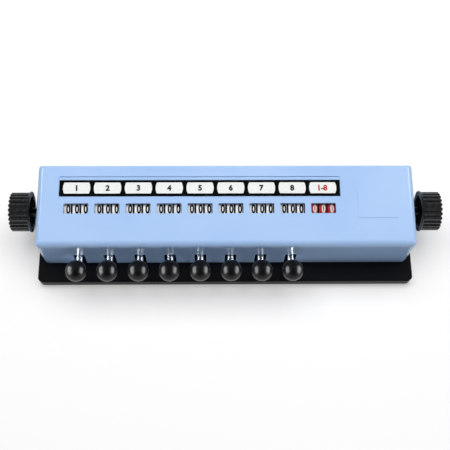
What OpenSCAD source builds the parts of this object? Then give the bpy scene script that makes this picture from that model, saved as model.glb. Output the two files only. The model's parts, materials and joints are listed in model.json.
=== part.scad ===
// Bench counter with eight levers and a total: a long moulded casing on a base plate, holding
// nine groups of three number wheels on one reset shaft, with a fluted knob at each end of it.
// X runs to the right, Y to the back and Z up. The origin is on the bench, under the middle.

/* [Base plate] */
// Ledge of the base plate beyond each end of the casing
plate_side = 4.2; // [3:0.1:12]
// Ledge of the base plate behind the casing
plate_back = 2.1; // [1:0.1:12]
// Thickness of the base plate at its rim
plate_t = 9; // [8:0.1:14]
// Corner radius of the base plate, seen from above
plate_corner_r = 5; // [4:0.1:10]
// Rounding of the plate's upper edge
plate_edge_r = 1.6; // [0.8:0.1:3]
// Thickness of the plate over the hollow in its underside
plate_skin = 4; // [3:0.1:6]
// Width of the plate's rim around that hollow
plate_rim = 6; // [5:0.1:8]

/* [Feet] */
// Diameter of a rubber foot
foot_d = 13; // [10:0.1:15]
// Height that a foot stands out below the plate
foot_h = 1.6; // [1:0.1:5]
// Distance from the plate's ends to a foot's centre
foot_inset_x = 31; // [26:0.1:40]
// Distance from the plate's front and back edges to a foot's centre
foot_inset_y = 14.5; // [14:0.1:18]

/* [Casing] */
// Depth of the casing
casing_d = 69; // [68.5:0.1:70]
// Height of the casing at its back, above the plate
casing_h = 48.6; // [48:0.1:60]
// Slope of the casing's top, down towards the front, in degrees
top_tilt = 4.2; // [2:0.1:5]
// Wall thickness of the casing
wall = 2.4; // [2:0.1:2.6]
// Distance from the plate's front edge to the casing's front face
casing_set_back = 16.7; // [15:0.1:18]
// Radius of the casing's upright corners
casing_corner_r = 5; // [4:0.1:8]
// Rounding between the front face and the top
front_r = 5; // [3:0.1:7]
// Rounding between the back face and the top
back_r = 3.6; // [3:0.1:6]
// Rounding between the end faces and the top
side_r = 4.5; // [3:0.1:6]
// Width of a lever's notch in the front face
notch_w = 9.6; // [8:0.1:12]
// Height of a lever's notch
notch_h = 21.2; // [18:0.1:24]
// Outer diameter of the bosses that take the casing's screws
boss_d = 8; // [7:0.1:9]
// Height of those bosses
boss_h = 12; // [10:0.1:16]

/* [Row of counters] */
// Distance from one counter to the next
counter_pitch = 25; // [25:0.1:25.4]
// Room between the row and the casing's left end
row_room = 19.6; // [18:0.1:30]
// Width of a window
window_w = 20; // [18:0.1:21]
// Depth of a window along the sloping top
window_d = 8.6; // [7:0.1:10]
// Corner radius of a window
window_r = 0.8; // [0.4:0.1:2]
// Distance from the front face to the windows' centres
window_y = 31.3; // [30:0.1:33]

/* [Label strip] */
// Length of the strip beyond the outer labels
strip_end = 2.9; // [1:0.1:4]
// Depth of the label strip
strip_d = 13.8; // [12:0.1:15]
// Thickness of the label strip
strip_t = 0.6; // [0.5:0.1:1]
// Distance from the front face to the strip's centre line
strip_y = 48.6; // [47:0.1:52]
// Bare margin of the recess before and behind the strip
recess_margin = 3; // [1:0.1:3.5]
// Depth of the recess that the strip lies in
recess_depth = 0.8; // [0.6:0.1:1.2]
// Length of a label
label_w = 22.2; // [20:0.1:23]
// Depth of a label
label_d = 9.4; // [8:0.1:10]
// Height of a label over the strip
label_t = 0.2; // [0.1:0.05:0.4]

/* [Raised panel] */
// Length of the bare raised panel beside the windows
panel_w = 33; // [28:0.1:34]
// Depth of that panel
panel_d = 26; // [20:0.1:28]
// Height of that panel over the casing's top
panel_t = 0.4; // [0.2:0.1:0.8]
// Distance from the casing's right end to the panel's centre
panel_end = 30.5; // [26:0.1:32]
// Distance from the front face to the panel's centre
panel_y = 36; // [33:0.1:40]

/* [Number wheels] */
// Gap between the wheels and the casing's top
wheel_top_gap = 1.2; // [0.8:0.1:2]
// Gap between the wheels and the bail under them
wheel_low_gap = 1.9; // [1.5:0.1:2.5]
// Width of a number wheel's band
wheel_w = 5.8; // [5:0.1:6]
// Distance from one wheel of a group to the next
wheel_pitch = 7; // [6.9:0.1:7.1]
// Distance from a window's centre to the middle wheel, to the right
wheel_shift = -0.2; // [-0.3:0.1:0.2]
// Thickness of a wheel's band and web
wheel_wall = 1.6; // [1.2:0.1:2.2]
// Diameter of the toothed disc on a wheel's right side
star_d = 24; // [22:0.1:24]
// Thickness of that toothed disc
star_t = 0.8; // [0.5:0.1:0.9]

/* [Reset shaft and knobs] */
// Diameter of the reset shaft
shaft_d = 7; // [5:0.1:8]
// Distance from the front face to the reset shaft
shaft_y = 35.7; // [35.4:0.1:36]
// Diameter of a reset knob over its ribs
knob_d = 32.2; // [28:0.1:34]
// Length of a reset knob
knob_l = 17; // [14:0.1:22]
// Gap between the casing's end and a knob
knob_gap = 6.5; // [3:0.1:10]
// Diameter of the rim at a knob's inner end
knob_rim_d = 33.8; // [33:0.1:36]
// Thickness of that rim
knob_rim_t = 1.3; // [1:0.1:2]
// Number of ribs around a knob
knob_ribs = 24; // [18:1:30]
// Diameter of a knob's rib
rib_d = 3; // [2:0.1:3.4]
// Wall thickness of a knob
knob_wall = 2; // [1.5:0.1:3]
// Outer diameter of the shaft's bushes
bush_d = 11; // [10:0.1:13]

/* [Levers] */
// Diameter of a lever's ball
ball_d = 17.4; // [14:0.1:19]
// Distance that a ball's centre stands in front of the front face
ball_reach = 15.7; // [14:0.1:19]
// Height of a ball's centre above the plate
ball_h = 28.1; // [27:0.1:32]
// Diameter of a lever's stem
stem_d = 5.6; // [5:0.1:6]
// Height of the level part of the stem above the plate
stem_h = 13; // [12.5:0.1:14]
// Radius of the bend that turns the stem up to the ball
elbow_r = 5; // [4:0.1:6]
// Distance behind the front face at which the stem bends level
stem_bend_y = 8.2; // [7:0.1:9]
// Diameter of the rod that the levers turn on
pivot_d = 4; // [3:0.1:4.5]
// Distance from the front face to that rod
pivot_y = 22.2; // [21.8:0.1:22.6]
// Height of that rod above the plate
pivot_h = 5.4; // [5.3:0.1:5.6]
// Outer diameter of a lever's hub
hub_d = 7; // [6:0.1:7]
// Thickness of a lever's upright finger and of its tail
finger_t = 0.8; // [0.5:0.1:0.9]
// Length of a lever's tail behind the rod
tail_l = 9; // [7:0.1:9.4]

/* [Frame and carry] */
// Thickness of the steel sheet that the frame is bent from
frame_t = 1.2; // [1:0.1:1.3]
// Height of the frame's dividers above the plate
frame_h = 34.4; // [33:0.1:38]
// Diameter of the rod that the carry pinions turn on
pinion_rod_d = 2.5; // [2:0.1:3]
// Diameter of a carry pinion over its teeth
pinion_d = 7; // [6:0.1:7.4]
// Width of a carry pinion
pinion_w = 4; // [3:0.1:5]
// Number of teeth on a carry pinion
pinion_teeth = 8; // [6:1:10]
// Metal left round the shaft and rods in a divider
frame_land = 4; // [3:0.1:5]
// Thickness of the bail that the levers' tails lift
bail_t = 1; // [0.8:0.1:1.2]
// Depth of that bail
bail_w = 5.5; // [4:0.1:6]
// Free travel of a tail before it lifts the bail
tail_lift = 2; // [1.5:0.1:2.2]
// Width of a return spring on the lever rod
spring_l = 2.2; // [1.5:0.1:2.4]

/* [Bell] */
// Diameter of the bell's mouth
bell_d = 38; // [34:0.1:40]
// Height of the bell
bell_height = 12; // [10:0.1:12.4]
// Wall thickness of the bell
bell_wall = 1.5; // [1:0.1:2]
// Room between the row of counters and the bell
bell_left_gap = 7.4; // [5:0.1:12]
// Room between the bell and the casing's right end
bell_right_gap = 17; // [15:0.1:25]
// Gap between the top of the bell's post and the reset shaft
bell_gap = 0.9; // [0.5:0.1:1.5]
// Diameter of the hammer's head
hammer_d = 5; // [4:0.1:6]
// Distance from the bell's centre to the hammer, to the left
hammer_side = 7; // [6:0.1:8]
// Length of the hammer's arm
hammer_reach = 8.3; // [7:0.1:9]
// Diameter of the bell's post over its foot
post_d = 8; // [7:0.1:9]

/* [Fits] */
// Radial clearance of a shaft or rod in its bore
running_fit = 0.08; // [0.02:0.01:0.1]
// Clearance between pieces that pass each other
clearance = 0.4; // [0.3:0.05:0.5]
// Diameter of the screws' threads
screw_d = 3; // [2.5:0.1:3.5]

/* [Hidden] */
$fn = 96;
key_count = 8;
counters = [for (n = [1:key_count + 1]) n];
places = ["units", "tens", "hundreds"];
tiny = 0.01;

// Heights above the bench
plate_top = foot_h + plate_t;
pivot_z = plate_top + pivot_h;
ball_z = plate_top + ball_h;
floor_z = plate_top + frame_t;
tail_top = pivot_z + finger_t;
bail_z = tail_top + tail_lift + clearance;
wheel_bottom = bail_z + bail_t + wheel_low_gap;

// Wheels: the largest that fit between the bail and the casing's sloping top
wheel_r = ((top_z(shaft_y) - wheel_bottom) * cos(top_tilt) - wall - wheel_top_gap)
    / (1 + cos(top_tilt));
shaft_z = wheel_bottom + wheel_r;

// Lengths along the row
row_l = counter_pitch * len(counters);
casing_w = row_room + row_l + bell_left_gap + bell_d + bell_right_gap;
plate_w = casing_w + 2 * plate_side;
plate_d = casing_set_back + casing_d + plate_back;
row_shift = row_room + row_l / 2 - casing_w / 2;
strip_w = counter_pitch * key_count + label_w + 2 * strip_end;
panel_x = casing_w / 2 - panel_end;
bell_x = casing_w / 2 - bell_right_gap - bell_d / 2;

// Places in depth, with the whole object centred on Y
ball_overhang = max(0, ball_reach + ball_d / 2 - casing_set_back);
plate_front = (ball_overhang - plate_d) / 2;
front_y = plate_front + casing_set_back;
back_y = front_y + casing_d;
shaft_py = front_y + shaft_y;
pivot_py = front_y + pivot_y;
ball_y = front_y - ball_reach;

// Casing
casing_end = casing_w / 2;
inner_end = casing_end - wall;
inner_back = back_y - wall;

// Wheels and carry
star_r = star_d / 2;
bore_d = shaft_d + 2 * running_fit;
wheel_hub_d = bore_d + 4;
pinion_py = shaft_py + wheel_r + clearance + pinion_d / 2;
pinion_bore_d = pinion_rod_d + 2 * running_fit;
divider_x = counter_pitch / 2;
divider_front = pivot_py - hub_d / 2 - 1;
divider_back = pinion_py + pinion_d / 2 + 1.5;
drum_right = wheel_shift + wheel_pitch + wheel_w / 2;
finger_x = drum_right + 0.3;

// Levers
hub_bore_d = pivot_d + 2 * running_fit;
hub_left = -7.5;
hub_right = finger_x + finger_t;
finger_l = norm([shaft_py - pivot_py, shaft_z - pivot_z]) - star_r - clearance;
finger_angle = atan2(shaft_z - pivot_z, shaft_py - pivot_py);
stem_z = plate_top + stem_h;
elbow_d = stem_d + 0.2;
stem_inset = 4;

// Bail: a flat bar over the levers' tails, under the wheels
bail_front = pivot_py + hub_d / 2 + 1.5;
bail_back = bail_front + bail_w;
bail_left = counter_x(1) - divider_x + frame_t / 2 + clearance;
bail_slot = 1.2;

// Bell
rod_right = bell_x + bell_d / 2 + frame_t + 1;
hammer_x = bell_x - hammer_side;
hammer_angle = 32;
bell_py = shaft_py;
bell_z = shaft_z - shaft_d / 2 - bell_gap - frame_t - bell_height;

// Feet and screws
foot_pad_d = foot_d + 3;
foot_x = plate_w / 2 - foot_inset_x;
foot_front = plate_front + foot_inset_y;
foot_back = plate_front + plate_d - foot_inset_y;
boss_x = inner_end - boss_d / 2;
boss_front = front_y + wall + boss_d / 2;
boss_back = inner_back - boss_d / 2;
floor_back = min(divider_back, boss_back - boss_d / 2 - 0.5 - clearance);
head_d = 2 * screw_d;
head_t = 0.6 * screw_d;
pilot_d = 0.8 * screw_d;
screw_hole_d = screw_d + 0.4;
frame_screw_x = [counter_x(2), counter_x(4), counter_x(6), counter_x(8)];
frame_screw_y = (pivot_py + divider_back) / 2;

// Name of a number wheel, counted from the left; the last group is the total
function wheel_node(n, place) = str(n > key_count ? "total" : str("counter_", n), "_", place);

// Middle of counter n
function counter_x(n) = row_shift + (n - 1 - key_count / 2) * counter_pitch;

// Height of the casing's top above the bench, at a distance from the front face
function top_z(y) = plate_top + casing_h - (casing_d - y) * tan(top_tilt);

// Middle of the wheel in a counter, by its place value
function wheel_x(n, place) =
    counter_x(n) + wheel_shift + (1 - search([place], places)[0]) * wheel_pitch;

// Rectangle with round corners, centred
module rounded_rectangle(w, d, r) {
    square([w - 2 * r, d], center = true);
    square([w, d - 2 * r], center = true);
    for (x = [-1, 1]) for (y = [-1, 1])
        translate([x * (w / 2 - r), y * (d / 2 - r)]) circle(r);
}

// Outline of a block from the side: level bottom, sloping top, round upper corners
module side_outline(d, h, tilt, r_front, r_back) {
    front_z = h - (d - r_front) * tan(tilt) - r_front / cos(tilt);
    rear_z = h - r_back * tan(tilt) - r_back / cos(tilt);
    polygon([
        [0, 0], [d, 0], [d, rear_z],
        [d - r_back * (1 + sin(tilt)), rear_z + r_back * cos(tilt)],
        [r_front * (1 - sin(tilt)), front_z + r_front * cos(tilt)],
        [0, front_z]]);
    translate([r_front, front_z]) circle(r_front);
    translate([d - r_back, rear_z]) circle(r_back);
}

// Outline of a block from the front, hanging from its top, with round upper corners
module end_outline(w, h, r) {
    translate([-w / 2, -2 * h]) square([w, 2 * h - r]);
    translate([-w / 2 + r, -r - tiny]) square([w - 2 * r, r + tiny]);
    for (x = [-1, 1]) translate([x * (w / 2 - r), -r]) circle(r);
}

// Block with a sloping top and round edges; its bottom front edge lies on the X axis
module rounded_block(w, d, h, tilt, corner_r, r_front, r_back, r_side) {
    intersection() {
        rotate([90, 0, 90]) translate([0, 0, -w / 2])
            linear_extrude(w) side_outline(d, h, tilt, r_front, r_back);
        translate([0, d / 2, 0]) linear_extrude(h + 1) rounded_rectangle(w, d, corner_r);
        translate([0, d, h]) rotate([90 + tilt, 0, 0]) translate([0, 0, -h])
            linear_extrude(d + 2 * h) end_outline(w, 2 * h, r_side);
    }
}

// Cylinder along X, from one x to another
module rod_x(d, x0, x1, y, z) {
    translate([x0, y, z]) rotate([0, 90, 0]) cylinder(d = d, h = x1 - x0);
}

// Plate of a drawn outline that stands upright, across X
module upright(x0, t) {
    translate([x0, 0, 0]) rotate([90, 0, 90]) linear_extrude(t) children();
}

// Puts a flat outline on the casing's top, sunk by a depth, at a distance from the front face
module on_top(x, y, sink, t) {
    translate([x, front_y + y, top_z(y)]) rotate([top_tilt, 0, 0])
        translate([0, 0, -sink]) linear_extrude(t) children();
}

// Places for the casing's screws
module at_bosses() {
    for (x = [-boss_x, 0, boss_x]) translate([x, boss_back, 0]) children();
    for (x = [-boss_x, boss_x]) translate([x, boss_front, 0]) children();
}

// Places for the frame's screws
module at_frame_screws() {
    for (x = frame_screw_x) translate([x, frame_screw_y, 0]) children();
}

module base_plate() {
    color("#17181a") difference() {
        translate([0, plate_front, foot_h])
            rounded_block(plate_w, plate_d, plate_t, 0, plate_corner_r,
                plate_edge_r, plate_edge_r, plate_edge_r);
        difference() {
            translate([0, plate_front + plate_d / 2, foot_h - 1])
                linear_extrude(plate_t - plate_skin + 1)
                    rounded_rectangle(plate_w - 2 * plate_rim, plate_d - 2 * plate_rim,
                        plate_corner_r);
            translate([0, 0, foot_h - 2]) linear_extrude(plate_t) {
                for (x = [-foot_x, foot_x]) for (y = [foot_front, foot_back])
                    translate([x, y]) circle(d = foot_pad_d);
            }
            translate([0, 0, foot_h + head_t]) {
                at_bosses() cylinder(d = boss_d + 2, h = plate_t);
                at_frame_screws() cylinder(d = boss_d + 2, h = plate_t);
            }
        }
        translate([0, 0, foot_h - 1]) {
            at_bosses() cylinder(d = screw_hole_d, h = plate_t + 2);
            at_bosses() cylinder(d = head_d + 2 * clearance, h = head_t + 1);
            at_frame_screws() cylinder(d = screw_hole_d, h = plate_t + 2);
        }
    }
}

module rubber_feet() {
    color("#202020")
        for (x = [-foot_x, foot_x]) for (y = [foot_front, foot_back])
            translate([x, y, 0]) {
                cylinder(d1 = foot_d - 2, d2 = foot_d, h = foot_h / 2);
                translate([0, 0, foot_h / 2]) cylinder(d = foot_d, h = foot_h / 2);
            }
}

// Pan head screw, seated on the plate's underside and driven upwards
module base_screw(reach) {
    translate([0, 0, foot_h]) difference() {
        cylinder(d = head_d, h = head_t);
        translate([0, 0, -tiny]) {
            cube([head_d * 0.7, 0.8, head_t], center = true);
            cube([0.8, head_d * 0.7, head_t], center = true);
        }
    }
    translate([0, 0, foot_h + head_t]) cylinder(d = pilot_d, h = reach - foot_h - head_t);
}

module base_screws() {
    color("#9a9c9e") {
        at_bosses() base_screw(plate_top + boss_h - 3);
        at_frame_screws() base_screw(floor_z);
    }
}

module notch_outline() {
    translate([-notch_w / 2, -1]) square([notch_w, notch_h]);
    translate([-notch_w / 2 + 1, 0]) square([notch_w - 2, notch_h]);
    for (x = [-1, 1]) translate([x * (notch_w / 2 - 1), notch_h - 1]) circle(1);
}

module casing() {
    color("#aed0fb") {
        difference() {
            translate([0, front_y, plate_top])
                rounded_block(casing_w, casing_d, casing_h, top_tilt, casing_corner_r,
                    front_r, back_r, side_r);
            translate([0, front_y + wall, plate_top - 1])
                rounded_block(casing_w - 2 * wall, casing_d - 2 * wall,
                    casing_h + 1 - wall * (1 / cos(top_tilt) + tan(top_tilt)), top_tilt,
                    casing_corner_r - wall / 2, front_r - wall / 2, back_r - wall / 2,
                    side_r - wall / 2);
            for (n = [1:key_count])
                translate([counter_x(n), front_y + wall + 1, plate_top]) rotate([90, 0, 0])
                    linear_extrude(wall + 2) notch_outline();
            for (n = counters)
                on_top(counter_x(n), window_y, wall + 1, wall + 2)
                    rounded_rectangle(window_w, window_d, window_r);
            on_top(row_shift, strip_y, recess_depth, 2)
                rounded_rectangle(strip_w + 2 * clearance, strip_d + 2 * recess_margin, 0.8);
            rod_x(bush_d, -casing_end - 1, casing_end + 1, shaft_py, shaft_z);
        }
        on_top(panel_x, panel_y, wall / 2, wall / 2 + panel_t)
            rounded_rectangle(panel_w, panel_d, 1.5);
        intersection() {
            difference() {
                translate([0, 0, plate_top]) at_bosses() cylinder(d = boss_d + 1, h = boss_h);
                translate([0, 0, plate_top - 1]) at_bosses() cylinder(d = pilot_d, h = boss_h - 1);
            }
            translate([0, front_y + casing_d / 2, 0]) linear_extrude(2 * casing_h)
                rounded_rectangle(casing_w - wall, casing_d - wall, casing_corner_r - wall / 2);
        }
    }
}

module label_strip() {
    color("#161719") on_top(row_shift, strip_y, recess_depth, strip_t)
        square([strip_w, strip_d], center = true);
    color("#f1f5f3") for (n = counters)
        on_top(counter_x(n), strip_y, recess_depth - strip_t, label_t) {
            square([label_w, label_d - 2], center = true);
            square([label_w - 2, label_d], center = true);
        }
}

module reset_shaft() {
    shaft_end = casing_end + knob_gap + knob_l - knob_wall;
    color("#6d6259") difference() {
        rod_x(shaft_d, -shaft_end, shaft_end, shaft_py, shaft_z);
        translate([counter_x(1) - divider_x, shaft_py - 0.6, shaft_z + shaft_d / 2 - 1])
            cube([row_l, 1.2, 2]);
    }
}

module ribbed_outline() {
    circle(d = knob_d - rib_d * 0.55);
    for (i = [0:knob_ribs - 1])
        rotate(i * 360 / knob_ribs) translate([(knob_d - rib_d) / 2, 0]) circle(d = rib_d);
}

// Knob with its open end at z = 0 and its closed end outwards
module reset_knob() {
    bevel = 1;
    hub_start = 4;
    color("#2b2c2d") difference() {
        union() {
            intersection() {
                translate([0, 0, knob_rim_t]) linear_extrude(knob_l - knob_rim_t)
                    ribbed_outline();
                union() {
                    cylinder(d = knob_d + 2, h = knob_l - bevel - 1);
                    translate([0, 0, knob_l - bevel - 1])
                        cylinder(d1 = knob_d + 2, d2 = knob_d - 2 * bevel, h = bevel + 1);
                }
            }
            cylinder(d = knob_rim_d, h = knob_rim_t);
        }
        translate([0, 0, -1])
            cylinder(d = knob_d - rib_d - 2 * knob_wall, h = knob_l + 1 - 1.5 * knob_wall);
        cylinder(d = shaft_d, h = knob_l - knob_wall);
    }
    color("#2b2c2d") translate([0, 0, hub_start]) difference() {
        cylinder(d = shaft_d + 2 * knob_wall, h = knob_l - hub_start - knob_wall);
        translate([0, 0, -1]) cylinder(d = shaft_d, h = knob_l);
    }
}

module reset_knob_left() {
    translate([-casing_end - knob_gap, shaft_py, shaft_z]) rotate([0, -90, 0]) reset_knob();
}

module reset_knob_right() {
    translate([casing_end + knob_gap, shaft_py, shaft_z]) rotate([0, 90, 0]) reset_knob();
}

module shaft_bushes() {
    color("#b08d4f") for (side = [0, 1]) mirror([side, 0, 0]) difference() {
        union() {
            rod_x(bush_d, inner_end, casing_end, shaft_py, shaft_z);
            rod_x(bush_d + 3, inner_end - 1.5, inner_end, shaft_py, shaft_z);
        }
        rod_x(bore_d, inner_end - 3, casing_end + 1, shaft_py, shaft_z);
    }
}

// Outline of a divider, with its bores for the shaft and the two rods
module divider_outline(slotted) {
    difference() {
        polygon([
            [divider_front, plate_top], [divider_back, plate_top],
            [divider_back, shaft_z + frame_land],
            [shaft_py + shaft_d / 2 + frame_land, plate_top + frame_h],
            [shaft_py - shaft_d / 2 - frame_land, plate_top + frame_h],
            [divider_front, pivot_z + frame_land]]);
        translate([shaft_py, shaft_z]) circle(d = bore_d);
        translate([pivot_py, pivot_z]) circle(d = pivot_d);
        translate([pinion_py, shaft_z]) circle(d = pinion_rod_d);
        if (slotted) translate([bail_front - 1, bail_z - bail_slot])
            square([bail_back - bail_front + 2, bail_t + 2 * bail_slot]);
    }
}

module mechanism_frame() {
    last = len(counters);
    color("#a9adb0") {
        difference() {
            translate([counter_x(1) - divider_x - frame_t / 2, divider_front, plate_top])
                cube([rod_right - counter_x(1) + divider_x + frame_t / 2,
                    floor_back - divider_front, frame_t]);
            translate([0, 0, plate_top - 1]) at_frame_screws() cylinder(d = pilot_d, h = 4);
        }
        for (n = [0:last])
            upright(counter_x(n + 0.5) - frame_t / 2, frame_t)
                divider_outline(n > 0 && n < last);
        upright(rod_right - frame_t, frame_t) divider_outline(false);
    }
}

// The rods that the levers and the carry pinions turn on
module frame_rods() {
    left = counter_x(0.5) - frame_t / 2;
    color("#8e9194") {
        rod_x(pivot_d, left, rod_right, pivot_py, pivot_z);
        rod_x(pinion_rod_d, left, rod_right, pinion_py, shaft_z);
    }
}

// Stem, hub, upright finger and tail of one lever, as one piece
module key_lever(n) {
    x = counter_x(n);
    color("#d5d8da") difference() {
        union() {
            translate([x, ball_y, stem_z + elbow_r - 0.5])
                cylinder(d = stem_d,
                    h = ball_z - ball_d / 2 + stem_inset - stem_z - elbow_r + 0.5);
            translate([x, ball_y + elbow_r, stem_z + elbow_r]) rotate([90, 0, -90]) rotate(-90)
                rotate_extrude(angle = 90) translate([elbow_r, 0]) circle(d = elbow_d);
            translate([x, ball_y + elbow_r - 0.5, stem_z]) rotate([-90, 0, 0])
                cylinder(d = stem_d, h = front_y + stem_bend_y - ball_y - elbow_r + 0.5);
            translate([x, front_y + stem_bend_y, stem_z]) {
                sphere(d = stem_d + 0.6);
                rotate([-90 + atan2(pivot_z - stem_z, pivot_y - stem_bend_y), 0, 0])
                    cylinder(d = stem_d, h = norm([pivot_y - stem_bend_y,
                        pivot_z - stem_z]));
            }
            rod_x(hub_d, x + hub_left, x + hub_right, pivot_py, pivot_z);
            translate([x + finger_x, pivot_py, pivot_z]) rotate([finger_angle, 0, 0])
                translate([0, -finger_t, 0]) cube([finger_t, finger_l, 2 * finger_t]);
            translate([x - 2, pivot_py, pivot_z - finger_t])
                cube([4, tail_l, 2 * finger_t]);
        }
        rod_x(hub_bore_d, x + hub_left - 1, x + hub_right + 1, pivot_py, pivot_z);
    }
}

module key_ball(n) {
    color("#101113") translate([counter_x(n), ball_y, ball_z]) difference() {
        sphere(d = ball_d);
        translate([0, 0, -ball_d * 1.5 + stem_inset]) cylinder(d = stem_d, h = ball_d);
    }
}

// Wound springs on the rod, beside the levers' hubs; each drives its lever back up
module return_springs() {
    color("#8a8c8e") for (n = [1:key_count]) difference() {
        rod_x(hub_d - 0.6, counter_x(n) + hub_left - 0.2 - spring_l,
            counter_x(n) + hub_left - 0.2, pivot_py, pivot_z);
        rod_x(pivot_d, counter_x(n) + hub_left - 1 - spring_l,
            counter_x(n) + hub_left + 1, pivot_py, pivot_z);
    }
}

module total_bail() {
    right_x = counter_x(key_count + 1) + finger_x;
    ear_r = hub_d / 2 - 0.3;
    color("#9b9ea1") difference() {
        union() {
            translate([bail_left, bail_front, bail_z])
                cube([right_x + finger_t - bail_left, bail_back - bail_front, bail_t]);
            for (x = [bail_left, right_x]) {
                rod_x(2 * ear_r, x, x + finger_t, pivot_py, pivot_z);
                upright(x, finger_t) polygon([
                    [pivot_py, pivot_z - ear_r], [bail_back, bail_z],
                    [bail_back, bail_z + bail_t], [bail_front, bail_z + bail_t],
                    [pivot_py, pivot_z + ear_r]]);
            }
            translate([right_x, pivot_py, pivot_z]) rotate([finger_angle, 0, 0])
                translate([0, -finger_t, 0]) cube([finger_t, finger_l, 2 * finger_t]);
        }
        rod_x(hub_bore_d, bail_left - 1, right_x + finger_t + 1, pivot_py, pivot_z);
    }
}

module pinion_outline() {
    core_d = pinion_d * 0.66;
    difference() {
        union() {
            circle(d = core_d);
            for (i = [0:pinion_teeth - 1]) rotate((i + 0.5) * 360 / pinion_teeth)
                translate([core_d / 2 - 0.5, -0.4]) square([(pinion_d - core_d) / 2 + 0.45, 0.8]);
        }
        circle(d = pinion_bore_d);
    }
}

// Small toothed wheels that carry from one number wheel to the next
module carry_pinions() {
    color("#e6e2d6") for (n = counters) for (side = [-0.5, 0.5])
        translate([counter_x(n) + wheel_shift + side * wheel_pitch, pinion_py, shaft_z])
            rotate([0, 90, 0]) translate([0, 0, -pinion_w / 2])
                linear_extrude(pinion_w) pinion_outline();
}

// Number wheel: a band with its web and hub, and a ten-toothed disc on its right side
module number_wheel(n, place) {
    total = n > key_count;
    translate([wheel_x(n, place) - wheel_w / 2, shaft_py, shaft_z]) rotate([0, 90, 0])
        difference() {
            union() {
                color(total ? "#b01e28" : "#ececea") difference() {
                    cylinder(r = wheel_r, h = wheel_w);
                    translate([0, 0, wheel_wall]) difference() {
                        cylinder(r = wheel_r - wheel_wall, h = wheel_w);
                        translate([0, 0, -1]) cylinder(d = wheel_hub_d, h = wheel_w + 2);
                    }
                }
                color("#1c1c1d") intersection() {
                    cylinder(r = star_r, h = wheel_w + star_t);
                    translate([0, 0, wheel_wall]) union() {
                        cylinder(r = star_r - 2, h = wheel_w);
                        for (i = [0:9]) rotate(i * 36) translate([0, -1.5, 0])
                            cube([wheel_r, 3, wheel_w]);
                    }
                }
            }
            translate([0, 0, -1]) cylinder(d = bore_d, h = wheel_w + star_t + 2);
        }
}

// Cup with its mouth down
module bell() {
    shoulder = 4;
    color("#c9ccce") translate([bell_x, bell_py, bell_z]) rotate_extrude() difference() {
        union() {
            square([bell_d / 2, bell_height - shoulder]);
            square([bell_d / 2 - shoulder, bell_height]);
            translate([bell_d / 2 - shoulder, bell_height - shoulder]) circle(shoulder);
        }
        translate([0, -1]) {
            square([bell_d / 2 - bell_wall, bell_height - shoulder + 1]);
            square([bell_d / 2 - shoulder, bell_height - bell_wall + 1]);
            translate([bell_d / 2 - shoulder, bell_height - shoulder + 1])
                circle(shoulder - bell_wall);
        }
        translate([-bell_d, -1]) square([bell_d + post_d / 4, 2 * bell_height]);
    }
}

module bell_post() {
    top = bell_z + bell_height;
    color("#8e9194") translate([bell_x, bell_py, 0]) {
        translate([0, 0, floor_z])
            cylinder(d = post_d, h = top - bell_wall - floor_z);
        translate([0, 0, top - bell_wall]) cylinder(d = post_d / 2, h = bell_wall);
        translate([0, 0, top]) cylinder(d = post_d * 0.75, h = frame_t);
    }
}

// Hammer that hangs on the lever rod and strikes the bell from within
module bell_hammer() {
    color("#8e9194") difference() {
        union() {
            rod_x(hub_d, hammer_x - 3, hammer_x + 3, pivot_py, pivot_z);
            translate([hammer_x, pivot_py, pivot_z]) rotate([-hammer_angle, 0, 0]) {
                cylinder(d = 2, h = hammer_reach);
                translate([0, 0, hammer_reach]) sphere(d = hammer_d);
            }
        }
        rod_x(hub_bore_d, hammer_x - 4, hammer_x + 4, pivot_py, pivot_z);
    }
}

base_plate();
rubber_feet();
base_screws();
casing();
label_strip();
reset_shaft();
reset_knob_left();
reset_knob_right();
shaft_bushes();
mechanism_frame();
frame_rods();
return_springs();
total_bail();
carry_pinions();
bell();
bell_post();
bell_hammer();
for (n = [1:key_count]) {
    key_lever(n);
    key_ball(n);
}
for (n = counters) for (place = places)
    number_wheel(n, place);
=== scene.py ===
import json
import math

import bmesh
import bpy
from mathutils import Matrix, Vector


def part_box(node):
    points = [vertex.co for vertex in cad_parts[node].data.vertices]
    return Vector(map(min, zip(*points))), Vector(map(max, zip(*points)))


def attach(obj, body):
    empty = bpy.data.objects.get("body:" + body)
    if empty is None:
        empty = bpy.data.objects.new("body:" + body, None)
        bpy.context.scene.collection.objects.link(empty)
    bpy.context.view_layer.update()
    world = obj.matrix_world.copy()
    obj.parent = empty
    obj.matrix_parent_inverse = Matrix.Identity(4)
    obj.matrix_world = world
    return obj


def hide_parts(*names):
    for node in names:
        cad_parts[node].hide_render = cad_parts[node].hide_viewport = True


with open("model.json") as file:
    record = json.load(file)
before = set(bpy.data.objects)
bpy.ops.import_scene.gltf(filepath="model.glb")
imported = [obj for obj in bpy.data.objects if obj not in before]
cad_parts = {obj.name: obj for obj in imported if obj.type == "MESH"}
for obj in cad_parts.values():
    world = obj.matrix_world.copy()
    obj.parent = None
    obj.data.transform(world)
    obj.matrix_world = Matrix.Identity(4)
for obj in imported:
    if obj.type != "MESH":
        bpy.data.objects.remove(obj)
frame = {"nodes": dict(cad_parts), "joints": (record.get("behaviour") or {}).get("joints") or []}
nodes = frame["nodes"]
joints = {joint["name"]: joint for joint in frame["joints"]}
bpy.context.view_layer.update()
mm = 0.001
print("frame loaded:", len(nodes), "nodes")

counterNames = ["counter_%d" % n for n in range(1, 9)] + ["total"]
placeNames = ["hundreds", "tens", "units"]


# small helpers for node trees and pieces

def linearColour(hexText):
    # sRGB hex to the linear values that the shaders take
    values = [int(hexText[i:i + 2], 16) / 255 for i in (1, 3, 5)]
    return [v / 12.92 if v <= 0.04045 else ((v + 0.055) / 1.055) ** 2.4 for v in values] + [1]


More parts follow.
